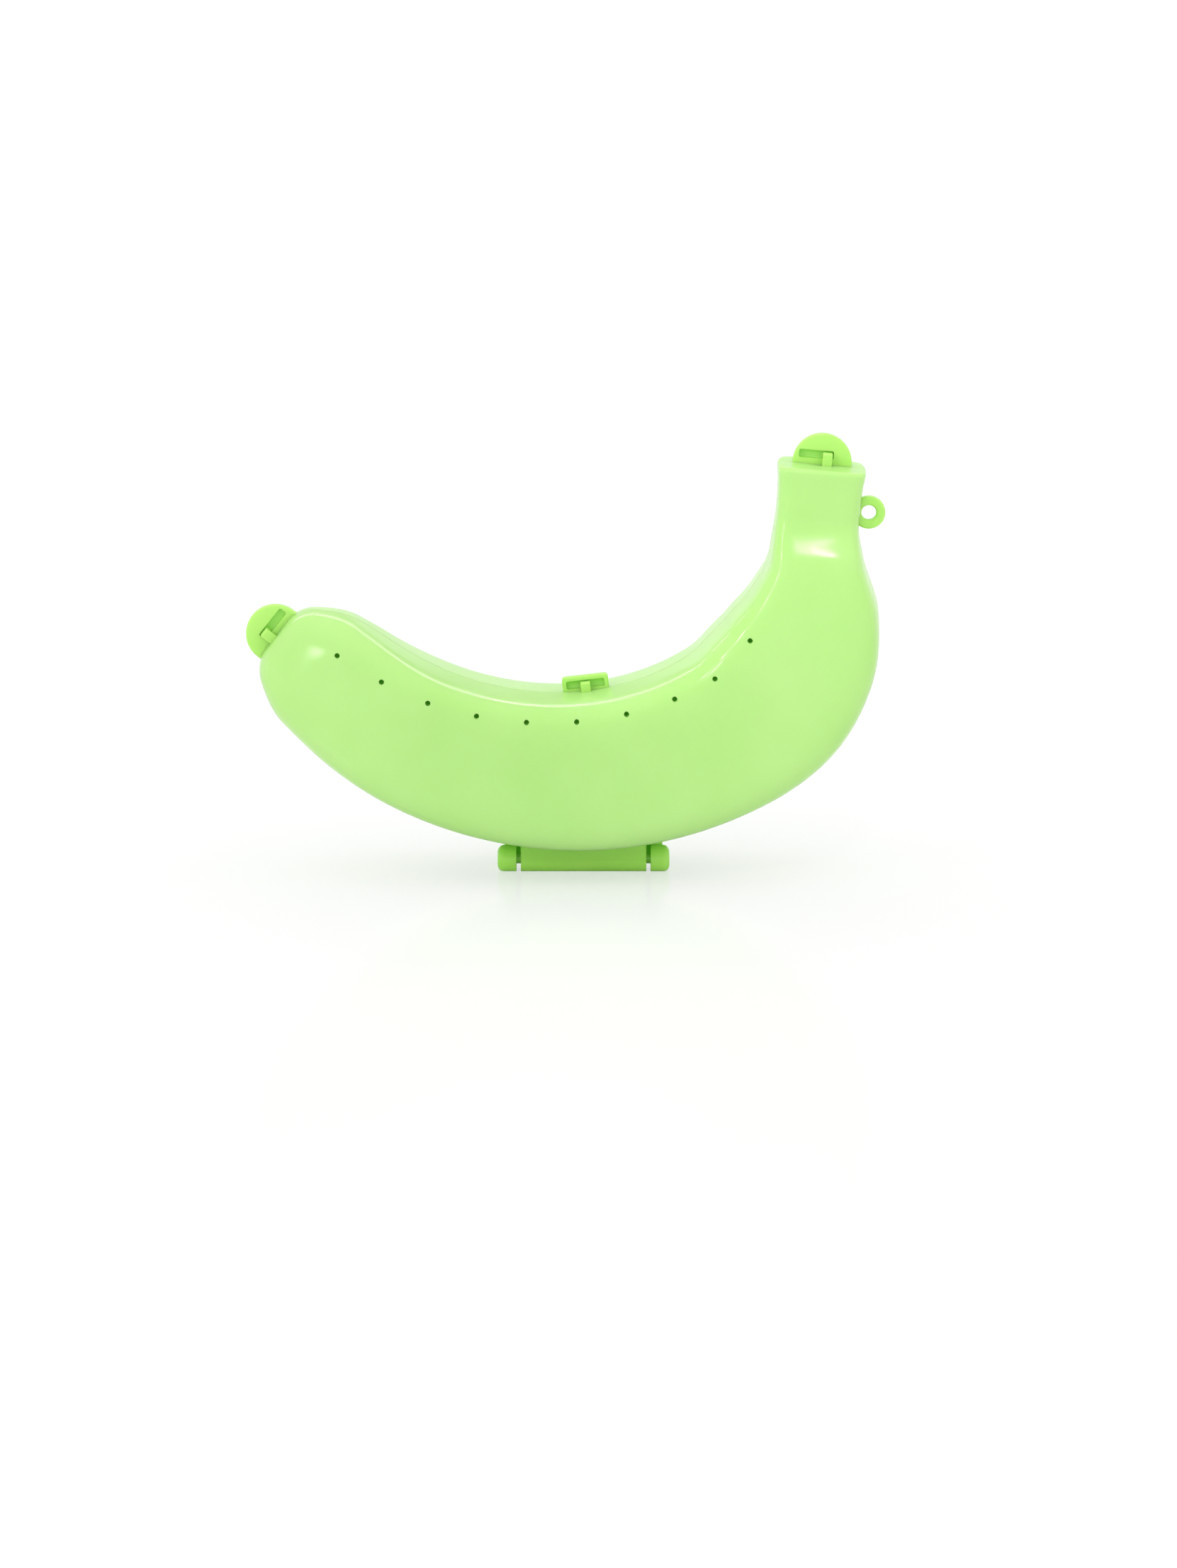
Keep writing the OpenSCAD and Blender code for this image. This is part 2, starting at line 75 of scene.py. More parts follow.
crease_from_top, stem_half_width, stem_top_half_width, stem_half_depth = 14.5, 12.7, 13.7, 11.0
# Distance along the spine, half-width and half-depth of the section there
stations = (
    (0.0, tip_face_half_width, tip_face_half_depth),
    (tip_shoulder_at, tip_half_width, tip_half_depth),
    (tip_side_at, tip_side_half_width, body_half_depth),
    (belly_at, belly_half_width, body_half_depth),
    (neck_at, stem_side_half_width, body_half_depth),
    (spine_length - bend_from_top, bend_half_width, bend_half_depth),
    (spine_length - shoulder_from_top, shoulder_half_width, shoulder_half_depth),
    (spine_length - neck_from_top, neck_half_width, neck_half_depth),
    (spine_length - neck_foot_from_top, neck_foot_half_width, neck_foot_half_depth),
    (spine_length - crease_from_top, stem_half_width, stem_half_depth),
    (spine_length, stem_top_half_width, stem_half_depth),
)
# Power of the superellipse, which rises from the tip's face to the tip's side and then stays
tip_squareness, body_squareness = 3.0, 6.0
wall, parting, draft = 1.8, 0.15, 2.0
tip_edge_radius, stem_edge_radius = 4.5, 1.5
shell_bottom_z, hinge_offset = 9.1, 4.5


def walk(s):
    """Place and heading of the spine at s from the tip's face, with the tip's face at the origin."""
    x, z, heading = 0.0, 0.0, -math.radians(tip_side_turn)
    for length, turn in spine_runs:
        step = min(max(s, 0.0), length)
        bend = math.radians(turn) * step / length
        chord = 2.0 * math.sin(bend / 2.0) * length / math.radians(turn) if turn else step
        x += chord * math.cos(heading + bend / 2.0)
        z += chord * math.sin(heading + bend / 2.0)
        heading += bend
        s -= step
    return x, z, heading


def on_spine(s, u, turn=0.0):
    """Matrix at s along the spine and u towards the inner curve: X along the spine, Z to that curve."""
    x, z, heading = walk(s)
    belly_x, belly_z = walk(belly_at)[:2]
    x += -hinge_offset - belly_x - u * math.sin(heading)
    z += shell_bottom_z + belly_half_width - belly_z + u * math.cos(heading)
    return Matrix.Translation((x * mm, 0.0, z * mm)) @ Matrix.Rotation(-heading - turn, 4, "Y")


def bend_at(s):
    """Turn of the spine in radians over the millimetre round s."""
    return walk(s + 0.5)[2] - walk(s - 0.5)[2]


def through_stations(s, column):
    """Smooth curve through one column of the stations, which doesn't overshoot between them."""
    at = [row[0] for row in stations]
    value = [row[column] for row in stations]
    rise = [(value[k + 1] - value[k]) / (at[k + 1] - at[k]) for k in range(len(at) - 1)]
    slope = [2 * a * b / (a + b) if a * b > 0.0 else 0.0 for a, b in zip(rise, rise[1:])]
    slope = [1.5 * rise[0] - 0.5 * rise[1]] + slope + [1.5 * rise[-1] - 0.5 * rise[-2]]
    k = max(i for i in range(len(rise)) if i == 0 or at[i] <= s)
    f = (s - at[k]) / (at[k + 1] - at[k])
    bow = (at[k + 1] - at[k]) * f * (1 - f) * (slope[k] * (1 - f) - slope[k + 1] * f)
    return value[k] * (1 + 2 * f) * (1 - f) ** 2 + value[k + 1] * f * f * (3 - 2 * f) + bow


def section(s):
    """Half-width, half-depth and squareness at s, with the end faces' edges rounded."""
    loss = 0.0
    for radius, from_end in ((tip_edge_radius, s), (stem_edge_radius, spine_length - s)):
        short = min(radius, max(0.0, radius - from_end))
        loss += radius - math.sqrt(radius ** 2 - short ** 2)
    square = tip_squareness + (body_squareness - tip_squareness) * min(1.0, s / tip_side_at)
    return through_stations(s, 1) - loss, through_stations(s, 2) - loss, square


# Rings of the loft: each end face closes in from its edge, the edge is fine and the body even
body_steps, tip_edge_steps, stem_edge_steps = 210, 16, 6
face_shares = (0.0, 0.35, 0.7, 0.92)


def end_rings(radius, steps):
    """Distances from an end face, and shares of the section, out over the face and round its edge."""
    quarter = [math.pi / 2 * k / steps for k in range(steps)]
    return [(0.0, share) for share in face_shares] + [(radius * (1 - math.cos(a)), 1.0) for a in quarter]


body_span = spine_length - tip_edge_radius - stem_edge_radius
body_rings = [(tip_edge_radius + body_span * k / body_steps, 1.0) for k in range(body_steps + 1)]
stem_rings = [(spine_length - s, share) for s, share in end_rings(stem_edge_radius, stem_edge_steps)]
rings = end_rings(tip_edge_radius, tip_edge_steps) + body_rings + stem_rings[::-1]
ring_mesh = bpy.data.meshes.new("shell_rings")
ring_mesh.from_pydata(
    [on_spine(s, 0.0).translation for s, share in rings],
    [(k, k + 1) for k in range(len(rings) - 1)],
    [],
)
for name, kind, field, values in (
    ("at", "FLOAT", "value", [s * mm for s, share in rings]),
    ("shrink", "FLOAT", "value", [share for s, share in rings]),
    ("section", "FLOAT_VECTOR", "vector",
     [v for s, share in rings for v in (section(s)[0] * mm, section(s)[1] * mm, section(s)[2])]),
    ("inwards", "FLOAT_VECTOR", "vector", [v for s, share in rings for v in on_spine(s, 0.0).col[2][:3]]),
):
    ring_mesh.attributes.new(name, kind, "POINT").data.foreach_set(field, values)


def add(tree, kind, inputs=(), **settings):
    """Adds a node with its settings, and sets or links its inputs, given in order or by name."""
    node = tree.nodes.new(kind)
    for name, value in settings.items():
        setattr(node, name, value)
    for key, value in inputs.items() if isinstance(inputs, dict) else enumerate(inputs):
        if isinstance(value, bpy.types.Node):
            value = value.outputs[0]
        if isinstance(value, bpy.types.NodeSocket):
            tree.links.new(value, node.inputs[key])
        else:
            node.inputs[key].default_value = value
    return node


def geometry_tree(name, inputs):
    """New Geometry Nodes tree with the named inputs and one geometry output."""
    tree = bpy.data.node_groups.new(name, "GeometryNodeTree")
    for label, kind in inputs.items():
        tree.interface.new_socket(label, in_out="INPUT", socket_type="NodeSocket" + kind)
    tree.interface.new_socket("Geometry", in_out="OUTPUT", socket_type="NodeSocketGeometry")
    return tree


def grow(piece, tree, values):
    """Puts the tree on the piece, with its named inputs set by their identifiers."""
    modifier = piece.modifiers.new(tree.name, "NODES")
    modifier.node_group = tree
    for item in tree.interface.items_tree:
        if item.in_out == "INPUT" and item.name in values:
            modifier[item.identifier] = values[item.name]


def new_piece(name, mesh):
    """New object for a mesh, in the scene and at the origin."""
    piece = bpy.data.objects.new(name, mesh)
    bpy.context.scene.collection.objects.link(piece)
    return piece


# Points this close are merged, and edges are sharp, or get rounded, from these angles on
merge_distance = 0.0005 * mm
sharp_from, rounded_from = math.radians(35), math.radians(60)


def set_mesh(piece):
    """Turns the modifiers into a plain mesh with outward faces, smooth apart from its sharp edges."""
    mesh = bpy.data.meshes.new_from_object(piece.evaluated_get(bpy.context.evaluated_depsgraph_get()))
    piece.modifiers.clear()
    piece.data = mesh
    mesh.name = piece.name
    shape = bmesh.new()
    shape.from_mesh(mesh)
    bmesh.ops.remove_doubles(shape, verts=shape.verts, dist=merge_distance)
    bmesh.ops.recalc_face_normals(shape, faces=shape.faces)
    shape.to_mesh(mesh)
    shape.free()
    mesh.shade_smooth()
    mesh.set_sharp_from_angle(angle=sharp_from)


# Loft tree: a closed strip round the wall, outside and back along the inside, at every ring
loft = geometry_tree("half shell loft", {
    "Rings": "Geometry", "Wall": "Float", "Parting": "Float", "Draft": "Float", "Side": "Float",
    "Section steps": "Int", "Material": "Material",
})
given = add(loft, "NodeGroupInput").outputs
strip = add(loft, "ShaderNodeMath", (given["Section steps"], 2.0, 2.0), operation="MULTIPLY_ADD")
columns = add(loft, "ShaderNodeMath", (strip, 1.0), operation="ADD")
ring_count = add(loft, "GeometryNodeAttributeDomainSize", (given["Rings"],))
grid = add(loft, "GeometryNodeMeshGrid", {"Vertices X": ring_count, "Vertices Y": columns})
index = add(loft, "GeometryNodeInputIndex")
ring_share = add(loft, "ShaderNodeMath", (index, columns), operation="DIVIDE")
ring = add(loft, "ShaderNodeMath", (ring_share,), operation="FLOOR")
column = add(loft, "ShaderNodeMath", (index, columns), operation="MODULO")
column = add(loft, "ShaderNodeMath", (column, strip), operation="MODULO")
# The first half of a strip lies on the outside, and the second half runs back on the inside
way_back = add(loft, "ShaderNodeMath", (strip, column), operation="SUBTRACT")
way_back = add(loft, "ShaderNodeMath", (way_back, 1.0), operation="SUBTRACT")
spoke = add(loft, "ShaderNodeMath", (column, way_back), operation="MINIMUM")
inside = add(loft, "ShaderNodeMath", (column, way_back), operation="GREATER_THAN")
inset = add(loft, "ShaderNodeMath", (inside, given["Wall"]), operation="MULTIPLY")
turn = add(loft, "ShaderNodeMath", (spoke, given["Section steps"]), operation="DIVIDE")
angle = add(loft, "ShaderNodeMath", (turn, math.pi), operation="MULTIPLY")
# The inside is shorter than the outside by a wall at each end
at_field = add(loft, "GeometryNodeInputNamedAttribute", {"Name": "at"}, data_type="FLOAT")
ring_at = add(loft, "GeometryNodeSampleIndex", (given["Rings"], at_field, ring), data_type="FLOAT")
shrink_field = add(loft, "GeometryNodeInputNamedAttribute", {"Name": "shrink"}, data_type="FLOAT")
shrink = add(loft, "GeometryNodeSampleIndex", (given["Rings"], shrink_field, ring), data_type="FLOAT")
spine = add(loft, "GeometryNodeMeshToCurve", (given["Rings"],))
whole = add(loft, "GeometryNodeCurveLength", (spine,))
lost = add(loft, "ShaderNodeMath", (inset, -2.0), operation="MULTIPLY")
lost = add(loft, "ShaderNodeMath", (lost, whole), operation="DIVIDE")
kept = add(loft, "ShaderNodeMath", (lost, 1.0), operation="ADD")
where = add(loft, "ShaderNodeMath", (ring_at, kept, inset), operation="MULTIPLY_ADD")
section_field = add(loft, "GeometryNodeInputNamedAttribute", {"Name": "section"}, data_type="FLOAT_VECTOR")
sizes = add(loft, "GeometryNodeSampleCurve", {"Curves": spine, "Value": section_field, "Length": where},
            data_type="FLOAT_VECTOR", mode="LENGTH")
inwards_field = add(loft, "GeometryNodeInputNamedAttribute", {"Name": "inwards"}, data_type="FLOAT_VECTOR")
inwards = add(loft, "GeometryNodeSampleCurve", {"Curves": spine, "Value": inwards_field, "Length": where},
              data_type="FLOAT_VECTOR", mode="LENGTH")
size = add(loft, "ShaderNodeSeparateXYZ", (sizes,))
half_width = add(loft, "ShaderNodeMath", (size.outputs["X"], inset), operation="SUBTRACT")
half_depth = add(loft, "ShaderNodeMath", (size.outputs["Y"], inset), operation="SUBTRACT")
half_depth = add(loft, "ShaderNodeMath", (half_depth, given["Parting"]), operation="SUBTRACT")
# Superellipse: the reach along a spoke from the middle of the section
cosine = add(loft, "ShaderNodeMath", (angle,), operation="COSINE")
sine = add(loft, "ShaderNodeMath", (angle,), operation="SINE")
sine = add(loft, "ShaderNodeMath", (sine,), operation="ABSOLUTE")
wide = add(loft, "ShaderNodeMath", (cosine,), operation="ABSOLUTE")
wide = add(loft, "ShaderNodeMath", (wide, half_width), operation="DIVIDE")
wide = add(loft, "ShaderNodeMath", (wide, size.outputs["Z"]), operation="POWER")
deep = add(loft, "ShaderNodeMath", (sine, half_depth), operation="DIVIDE")
deep = add(loft, "ShaderNodeMath", (deep, size.outputs["Z"]), operation="POWER")
bulk = add(loft, "ShaderNodeMath", (wide, deep), operation="ADD")
root = add(loft, "ShaderNodeMath", (-1.0, size.outputs["Z"]), operation="DIVIDE")
reach = add(loft, "ShaderNodeMath", (bulk, root), operation="POWER")
reach = add(loft, "ShaderNodeMath", (reach, shrink), operation="MULTIPLY")
across = add(loft, "ShaderNodeMath", (reach, cosine), operation="MULTIPLY")
depth = add(loft, "ShaderNodeMath", (reach, sine), operation="MULTIPLY")
# Draft narrows the section with its depth
taper = add(loft, "ShaderNodeMath", (depth, given["Draft"]), operation="MULTIPLY")
taper = add(loft, "ShaderNodeMath", (taper, half_width), operation="DIVIDE")
taper = add(loft, "ShaderNodeMath", (1.0, taper), operation="SUBTRACT")
across = add(loft, "ShaderNodeMath", (across, taper), operation="MULTIPLY")
depth = add(loft, "ShaderNodeMath", (depth, given["Parting"]), operation="ADD")
depth = add(loft, "ShaderNodeMath", (depth, given["Side"]), operation="MULTIPLY")
depth = add(loft, "ShaderNodeCombineXYZ", {"Y": depth})
across = add(loft, "ShaderNodeVectorMath", {0: inwards, "Scale": across}, operation="SCALE")
point = add(loft, "ShaderNodeVectorMath", (sizes.outputs["Position"], across), operation="ADD")
point = add(loft, "ShaderNodeVectorMath", (point, depth), operation="ADD")
skin = add(loft, "GeometryNodeSetPosition", {"Geometry": grid, "Position": point})
skin = add(loft, "GeometryNodeMergeByDistance", {"Geometry": skin, "Distance": merge_distance})
skin = add(loft, "GeometryNodeRealizeInstances", (skin,))
skin = add(loft, "GeometryNodeSetMaterial", {"Geometry": skin, "Material": given["Material"]})
add(loft, "NodeGroupOutput", (skin,))


def linear(hex_colour):
    """Linear colour of an sRGB hex value."""
    channels = [int(hex_colour[k:k + 2], 16) / 255 for k in (1, 3, 5)]
    return [c / 12.92 if c <= 0.04045 else ((c + 0.055) / 1.055) ** 2.4 for c in channels] + [1.0]


def new_tree(owner):
    """Emptied node tree of a new material or world."""
    owner.use_nodes = True
    owner.node_tree.nodes.clear()
    return owner.node_tree


# Sizes of the patterns in mm, roughness of the polish, and share of the light that the wall lets through
cloud_size, patch_size, ripple_length, ripple_height = 35.0, 12.0, 4.0, 0.04
shiniest, dullest = 0.14, 0.22
light_through = 0.2


def moulded_polypropylene(name, pale, deep):
    """Polypropylene from a polished mould: waxy, slightly cloudy plastic with a clear gloss.
    The eye sees an even colour with faint clouds of flow, light just under the skin and soft highlights."""
    material = bpy.data.materials.new(name)
    tree = new_tree(material)
    place = add(tree, "ShaderNodeTexCoord").outputs["Object"]
    # Clouds of flow, centimetres across
    clouds = add(tree, "ShaderNodeTexNoise",
                 {"Vector": place, "Scale": 1 / (cloud_size * mm), "Detail": 2.0})
    colour = add(tree, "ShaderNodeValToRGB", (clouds,))
    for stop, position, shade in zip(colour.color_ramp.elements, (0.35, 0.65), (deep, pale)):
        stop.position = position
        stop.color = linear(shade)
    # Patches where the mould's polish is a little duller
    patches = add(tree, "ShaderNodeTexNoise",
                  {"Vector": place, "Scale": 1 / (patch_size * mm), "Detail": 3.0})
    roughness = add(tree, "ShaderNodeMapRange", {
        "Value": patches, "From Min": 0.3, "From Max": 0.7, "To Min": shiniest, "To Max": dullest,
    })
    # Shrinkage ripple, a few hundredths of a millimetre high
    ripple = add(tree, "ShaderNodeTexNoise",
                 {"Vector": place, "Scale": 1 / (ripple_length * mm), "Detail": 1.0})
    relief = add(tree, "ShaderNodeBump",
                 {"Height": ripple, "Strength": 0.25, "Distance": ripple_height * mm})
    skin = add(tree, "ShaderNodeBsdfPrincipled", {
        "Base Color": colour, "Roughness": roughness, "Normal": relief, "IOR": 1.49,
        "Subsurface Weight": 0.4, "Subsurface Radius": (1.0, 1.2, 0.6), "Subsurface Scale": 1.0 * mm,
    })
    # The thin wall lets some light through, so that the hollow inside glows green
    through = add(tree, "ShaderNodeBsdfTranslucent", {"Color": colour})
    wall_look = add(tree, "ShaderNodeMixShader", (light_through, skin, through))
    add(tree, "ShaderNodeOutputMaterial", {"Surface": wall_look})
    return material


lime = moulded_polypropylene("moulded lime polypropylene", "#C4F194", "#BEEE8C")
rim_rounding, section_steps = 0.15, 84
halves = {}
for name, side in (("rear_moulding", 1.0), ("front_moulding", -1.0)):
    half = halves[name] = new_piece(name, ring_mesh.copy())
    grow(half, loft, {
        "Wall": wall * mm, "Parting": parting * mm, "Draft": math.tan(math.radians(draft)),
        "Side": side, "Section steps": section_steps, "Material": lime,
    })
    rim = half.modifiers.new("rounded rim", "BEVEL")
    rim.width = rim_rounding * mm
    rim.segments = 2
    rim.angle_limit = rounded_from

# The vent holes
# Ten small holes moulded through the front half's face, in an evenly spaced row beside its inner
# curve, so that the fruit can breathe.
vent_count, vent_diameter, vent_pitch, vent_first = 10, 1.6, 15.3, 16.5
tip_vent_offset, middle_vent_offset, stem_vent_offset = 9.7, 19.4, 16.9
vent_knots = (
    (vent_first, tip_vent_offset),
    ((belly_at + neck_at) / 2, middle_vent_offset),
    (spine_length - shoulder_from_top, stem_vent_offset),
)
drill_middle, drill_length, drill_sides = 20.0, 30.0, 32


def vent_offset(s):
    """Distance of the row from the spine, on a parabola through its three knots."""
    return sum(
        offset * math.prod((s - knot[0]) / (at - knot[0]) for knot in vent_knots if knot[0] != at)
        for at, offset in vent_knots
    )


vent_places = [vent_first]
while len(vent_places) < vent_count:
    s = vent_places[-1]
    vent_places.append(s + vent_pitch / (1 - vent_offset(s) * bend_at(s)))
vent_mesh = bpy.data.meshes.new("vent_row")
drill_y = Vector((0.0, -drill_middle * mm, 0.0))
vent_mesh.from_pydata([on_spine(s, vent_offset(s)).translation + drill_y for s in vent_places], [], [])
vent_row = new_piece("vent_row", vent_mesh)
drilling = geometry_tree("vent holes", {
    "Shell": "Geometry", "Row": "Object", "Diameter": "Float", "Length": "Float", "Material": "Material",
})
given = add(drilling, "NodeGroupInput").outputs
row = add(drilling, "GeometryNodeObjectInfo", (given["Row"],))
radius = add(drilling, "ShaderNodeMath", (given["Diameter"], 2.0), operation="DIVIDE")
drill = add(drilling, "GeometryNodeMeshCylinder",
            {"Vertices": drill_sides, "Radius": radius, "Depth": given["Length"]})
drills = add(drilling, "GeometryNodeInstanceOnPoints",
             {"Points": row.outputs["Geometry"], "Instance": drill, "Rotation": (math.pi / 2, 0.0, 0.0)})
drills = add(drilling, "GeometryNodeRealizeInstances", (drills,))
drilled = add(drilling, "GeometryNodeMeshBoolean", (given["Shell"], drills),
              operation="DIFFERENCE", solver="MANIFOLD")
drilled = add(drilling, "GeometryNodeRealizeInstances", (drilled,))
drilled = add(drilling, "GeometryNodeSetMaterial", {"Geometry": drilled, "Material": given["Material"]})
add(drilling, "NodeGroupOutput", (drilled,))
grow(halves["front_moulding"], drilling, {
    "Row": vent_row, "Diameter": vent_diameter * mm, "Length": drill_length * mm, "Material": lime,
})
for name, node, body in (
    ("rear_moulding", "rear_shell", "rear_half"),
    ("front_moulding", "front_shell", "front_half"),
):
    set_mesh(halves[name])
    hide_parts(node)
    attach(halves[name], body)
bpy.data.objects.remove(vent_row)

# The hinge's knuckles
# Three barrels in one line under the belly, moulded with the halves: a long one on the front half
# between two short ones on the rear half. Each hangs from its shell on a web, a brace behind each slit
# stiffens the short ones, and the barrels' undersides are cut flat so that the case stands on them.
hinge_width, outer_barrel_width, slit = 52.6, 5.8, 1.3
barrel_radius, axis_z = 4.2, 3.6
outer_rounding, slit_rounding, rounding_steps = 2.2, 0.3, 8
pin_radius, pin_running_clearance, pin_seat_clearance = 1.6, 0.06, 0.02
barrel_sides, bore_sides, bore_rounding = 96, 48, 0.1
web_gap, web_sunk, web_rounding, web_steps = 0.3, 1.0, 0.25, 32
brace_gap, brace_thickness, brace_lap, brace_z = 0.4, 1.4, 1.5, 2.2
search_reach, halvings = 60.0, 40


def underside(x):
    """Height of the shell's lowest line at x along the hinge, found by halving a stretch of the spine."""
    low, high = belly_at - search_reach, belly_at + search_reach
    for halving in range(halvings):
        middle = (low + high) / 2
        point = on_spine(middle, -through_stations(middle, 1)).translation / mm
        low, high = (middle, high) if point.x < x else (low, middle)
    return point.z


def turned(name, profile, place, steps, ring=False):
    """Solid turned about the X axis of its place, from points along X and their radii."""
    count = len(profile)
    points = []
    for along, radius in profile:
        for k in range(steps):
            angle = 2 * math.pi * k / steps
            points.append(place @ Vector((along, radius * math.cos(angle), radius * math.sin(angle))))
    faces = []
    for j in range(count if ring else count - 1):
        for k in range(steps):
            a, b = j * steps, (j + 1) % count * steps
            faces.append((a + k, a + (k + 1) % steps, b + (k + 1) % steps, b + k))
    mesh = bpy.data.meshes.new(name)
    mesh.from_pydata(points, [], faces)
    piece = new_piece(name, mesh)
    set_mesh(piece)
    return piece


def combine(piece, other, operation):
    """Joins a piece with another one, or cuts it with that one, which is used up."""
    modifier = piece.modifiers.new(operation, "BOOLEAN")
    modifier.operation = operation
    modifier.object = other
    set_mesh(piece)
    bpy.data.objects.remove(other)


def rod_profile(from_x, to_x, radius, from_rounding, to_rounding):
    """Profile of a rod with rounded ends, closed at its axis."""
    quarter = [math.pi / 2 * k / rounding_steps for k in range(rounding_steps + 1)]
    start = [(from_x + from_rounding * (1 - math.cos(a)), radius - from_rounding * (1 - math.sin(a)))
             for a in quarter]
    end = [(to_x - to_rounding * (1 - math.sin(a)), radius - to_rounding * (1 - math.cos(a)))
           for a in quarter]
    return [(x * mm, r * mm) for x, r in [(from_x, 0.0)] + start + end + [(to_x, 0.0)]]


def hung_web(from_x, to_x, near_y, far_y, bottom_z):
    """Upright web with rounded edges, whose top follows the shell's underside, just inside its wall."""
    points = []
    for k in range(web_steps + 1):
        x = from_x + (to_x - from_x) * k / web_steps
        top = underside(x) + web_sunk
        corners = ((near_y, bottom_z), (far_y, bottom_z), (far_y, top), (near_y, top))
        points += [(x * mm, y * mm, z * mm) for y, z in corners]
    faces = [(0, 1, 2, 3), tuple(4 * web_steps + k for k in (3, 2, 1, 0))]
    for k in range(web_steps):
        near, far = 4 * k, 4 * k + 4
        faces += [(near + j, near + (j + 1) % 4, far + (j + 1) % 4, far + j) for j in range(4)]
    mesh = bpy.data.meshes.new("web")
    mesh.from_pydata(points, [], faces)
    web = new_piece("web", mesh)
    rounding = web.modifiers.new("rounded edges", "BEVEL")
    rounding.width = web_rounding * mm
    rounding.segments = 3
    rounding.angle_limit = rounded_from
    set_mesh(web)
    return web


def knuckle(name, barrel_profile, webs, bore_radius):
    """Barrel with a flat foot, its webs up into the shell, and the pin's bore."""
    axis = Matrix.Translation((0.0, 0.0, axis_z * mm))
    piece = turned(name, barrel_profile, axis, barrel_sides)
    for point in piece.data.vertices:
        point.co.z = max(0.0, point.co.z)
    for web in webs:
        combine(piece, hung_web(*web), "UNION")
    bore_profile = rod_profile(-hinge_width, hinge_width, bore_radius, bore_rounding, bore_rounding)
    combine(piece, turned("bore", bore_profile, axis, bore_sides), "DIFFERENCE")
    return piece


# The barrels' copy of the shells' plastic: its colour is painted brighter and greener than theirs, as
# painted light that makes up for the shade under the belly.
brightened_hinge_lime = moulded_polypropylene("moulded lime polypropylene, thick", "#C4FF78", "#BBFA6E")
outer_from = hinge_width / 2 - outer_barrel_width
front_half_width = outer_from - slit
web_out = hinge_width / 2 - outer_rounding
brace_from, brace_y = outer_from - slit - brace_lap, barrel_radius + brace_gap
brace_back = brace_y + brace_thickness
for name, node, body, clearance, profile, webs in (
    ("middle_barrel", "front_knuckle", "front_half", pin_running_clearance,
     rod_profile(-front_half_width, front_half_width, barrel_radius, slit_rounding, slit_rounding),
     [(-front_half_width, front_half_width, -barrel_radius, -web_gap, axis_z)]),
    ("tip_side_barrel", "left_rear_knuckle", "rear_half", pin_seat_clearance,
     rod_profile(-hinge_width / 2, -outer_from, barrel_radius, outer_rounding, slit_rounding),
     [(-web_out, -outer_from, web_gap, brace_back, axis_z),
      (-web_out, -brace_from, brace_y, brace_back, brace_z)]),
    ("stem_side_barrel", "right_rear_knuckle", "rear_half", pin_seat_clearance,
     rod_profile(outer_from, hinge_width / 2, barrel_radius, slit_rounding, outer_rounding),
     [(outer_from, web_out, web_gap, brace_back, axis_z),
      (brace_from, web_out, brace_y, brace_back, brace_z)]),
):
    barrel = knuckle(name, profile, webs, pin_radius + clearance)
    barrel.data.materials.clear()
    barrel.data.materials.append(brightened_hinge_lime)
    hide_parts(node)
    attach(barrel, body)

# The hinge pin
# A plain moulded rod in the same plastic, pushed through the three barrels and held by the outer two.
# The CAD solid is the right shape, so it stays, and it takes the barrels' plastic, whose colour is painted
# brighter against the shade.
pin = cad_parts["hinge_pin"]
pin.data.materials.clear()
pin.data.materials.append(brightened_hinge_lime)

# The finger tabs
# A half-round tab stands on each end face of the rear half, moulded with it, and is lifted with a
# finger. The pocket in the front of its foot is what the front half's catch snaps into.
tab_radius, tab_foot, tab_thickness, tab_rounding = 9.0, 0.4, 3.0, 0.6
pocket_rise, pocket_height, pocket_depth = 1.7, 2.6, 2.0
pocket_width, pocket_shift, pocket_rounding = 10.6, 2.0, 0.3
tab_sunk, face_inset = 1.4, 0.05


def rounded_box(x0, x1, y0, y1, radius):
    """Outline of a rectangle with rounded corners, counter-clockwise."""
    corners = ((x1 - radius, y0 + radius, -90), (x1 - radius, y1 - radius, 0),
               (x0 + radius, y1 - radius, 90), (x0 + radius, y0 + radius, 180))
    return [
        (x + radius * math.cos(math.radians(angle)), y + radius * math.sin(math.radians(angle)))
        for x, y, start in corners for angle in range(start, start + 91, 15)
    ]


def plate(name, outline, thickness, rounding, place, material):
    """Flat plate with rounded edges. Its outline lies in the place's XY plane, and its middle at z = 0."""
    curve = bpy.data.curves.new(name, "CURVE")
    curve.dimensions = "2D"
    curve.fill_mode = "BOTH"
    curve.extrude = (thickness / 2 - rounding) * mm
    curve.bevel_depth = rounding * mm
    curve.bevel_resolution = 3
    curve.offset = -rounding * mm
    spline = curve.splines.new("POLY")
    spline.points.add(len(outline) - 1)
    for point, (x, y) in zip(spline.points, outline):
        point.co = (x * mm, y * mm, 0.0, 1.0)
    spline.use_cyclic_u = True
    flat = new_piece(name, curve)
    mesh = bpy.data.meshes.new_from_object(flat.evaluated_get(bpy.context.evaluated_depsgraph_get()))
    bpy.data.objects.remove(flat)
    mesh.transform(place)
    mesh.materials.clear()
    mesh.materials.append(material)
    piece = new_piece(name, mesh)
    set_mesh(piece)
    return piece


def cut_pocket(piece, x0, x1, y0, y1, place, material):
    """Cuts a pocket with rounded corners into the front of a plate, down from the parting plane."""
    outline = rounded_box(x0, x1, y0, y1, 2 * pocket_rounding)
    cutter = plate("cutter", outline, 2 * (parting + pocket_depth), pocket_rounding, place, material)
    combine(piece, cutter, "DIFFERENCE")


thin_lime = moulded_polypropylene("moulded lime polypropylene, thin", "#C6F584", "#BDF078")
half_round = [
    (tab_foot + tab_radius * math.cos(math.radians(a)), tab_radius * math.sin(math.radians(a)))
    for a in range(-90, 91, 3)
]
tab_outline = [(-tab_sunk, -tab_radius)] + half_round + [(-tab_sunk, tab_radius)]
